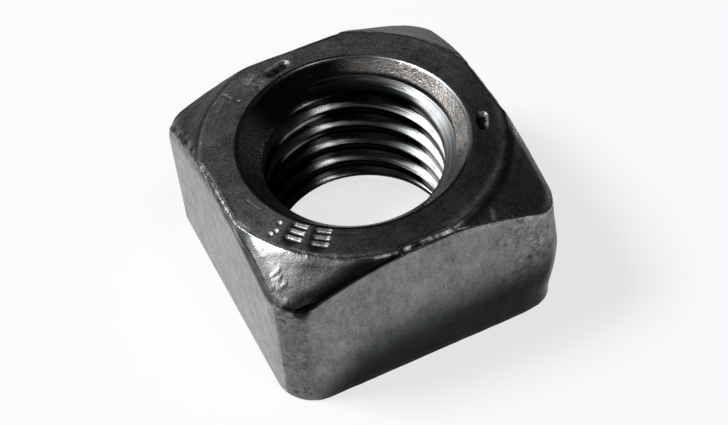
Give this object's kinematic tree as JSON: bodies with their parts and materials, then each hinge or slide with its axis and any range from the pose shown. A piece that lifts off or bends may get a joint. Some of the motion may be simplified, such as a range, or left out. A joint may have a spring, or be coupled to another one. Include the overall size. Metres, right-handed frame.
{
  "type": "square nut",
  "caption": "Forged square nut with a turned chamfer around its round upper face and a coarse right-hand threaded hole, countersunk at both mouths.",
  "frame": {"origin": "where the thread's axis meets the bottom bearing face", "axes": "+Z along the thread's axis, out of the chamfered upper face; the broad front side looks along -Y, the left side along -X"},
  "size_m": [0.0278, 0.0278, 0.0162],
  "materials": {
    "forged_steel": "plain dark forged steel, turned upper face, worn edges"
  },
  "bodies": {
    "root": {"square_nut": "forged_steel"}
  },
  "joints": []
}
